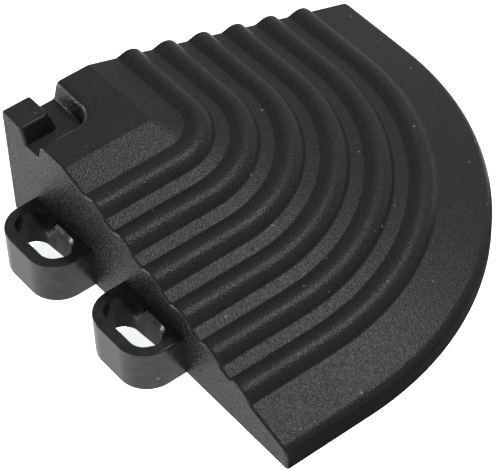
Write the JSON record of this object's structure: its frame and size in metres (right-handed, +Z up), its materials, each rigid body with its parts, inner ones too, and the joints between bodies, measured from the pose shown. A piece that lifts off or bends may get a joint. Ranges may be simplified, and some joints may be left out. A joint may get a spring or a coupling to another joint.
{
  "type": "floor tile corner ramp",
  "caption": "Quarter-round corner edging ramp for interlocking floor tiles, with raised grip ribs, connector loops on one side and snap pegs on the other.",
  "frame": {"origin": "middle of the footprint's box at floor level", "axes": "+Z up; +X along the side with the connector loops, which stand out towards -Y; +Y along the side with the snap pegs; the square inner corner is at -X, -Y"},
  "size_m": [0.06, 0.0674, 0.018],
  "materials": {
    "grained_plastic": "black polypropylene with a fine spark-eroded grain, satin on the landing plate",
    "smooth_plastic": "smooth semi-gloss black polypropylene",
    "inner_plastic": "plain as-moulded black polypropylene"
  },
  "bodies": {
    "root": {"landing_plate": "grained_plastic", "corner_lug": "grained_plastic", "ramp_deck": "grained_plastic", "grip_rib_1": "grained_plastic", "grip_rib_2": "grained_plastic", "grip_rib_3": "grained_plastic", "grip_rib_4": "grained_plastic", "grip_rib_5": "grained_plastic", "grip_rib_6": "grained_plastic", "loop_side_wall": "grained_plastic", "peg_side_wall": "grained_plastic", "connector_loop_1": "smooth_plastic", "connector_loop_2": "smooth_plastic", "snap_peg_1": "smooth_plastic", "snap_peg_2": "smooth_plastic", "loop_brace_1": "inner_plastic", "loop_brace_2": "inner_plastic", "peg_brace_1": "inner_plastic", "peg_brace_2": "inner_plastic", "hub_post": "inner_plastic", "radial_web_1": "inner_plastic", "radial_web_2": "inner_plastic", "radial_web_3": "inner_plastic", "radial_web_4": "inner_plastic", "radial_web_5": "inner_plastic", "support_post_1": "inner_plastic", "support_post_2": "inner_plastic", "support_post_3": "inner_plastic", "support_post_4": "inner_plastic"}
  },
  "joints": []
}
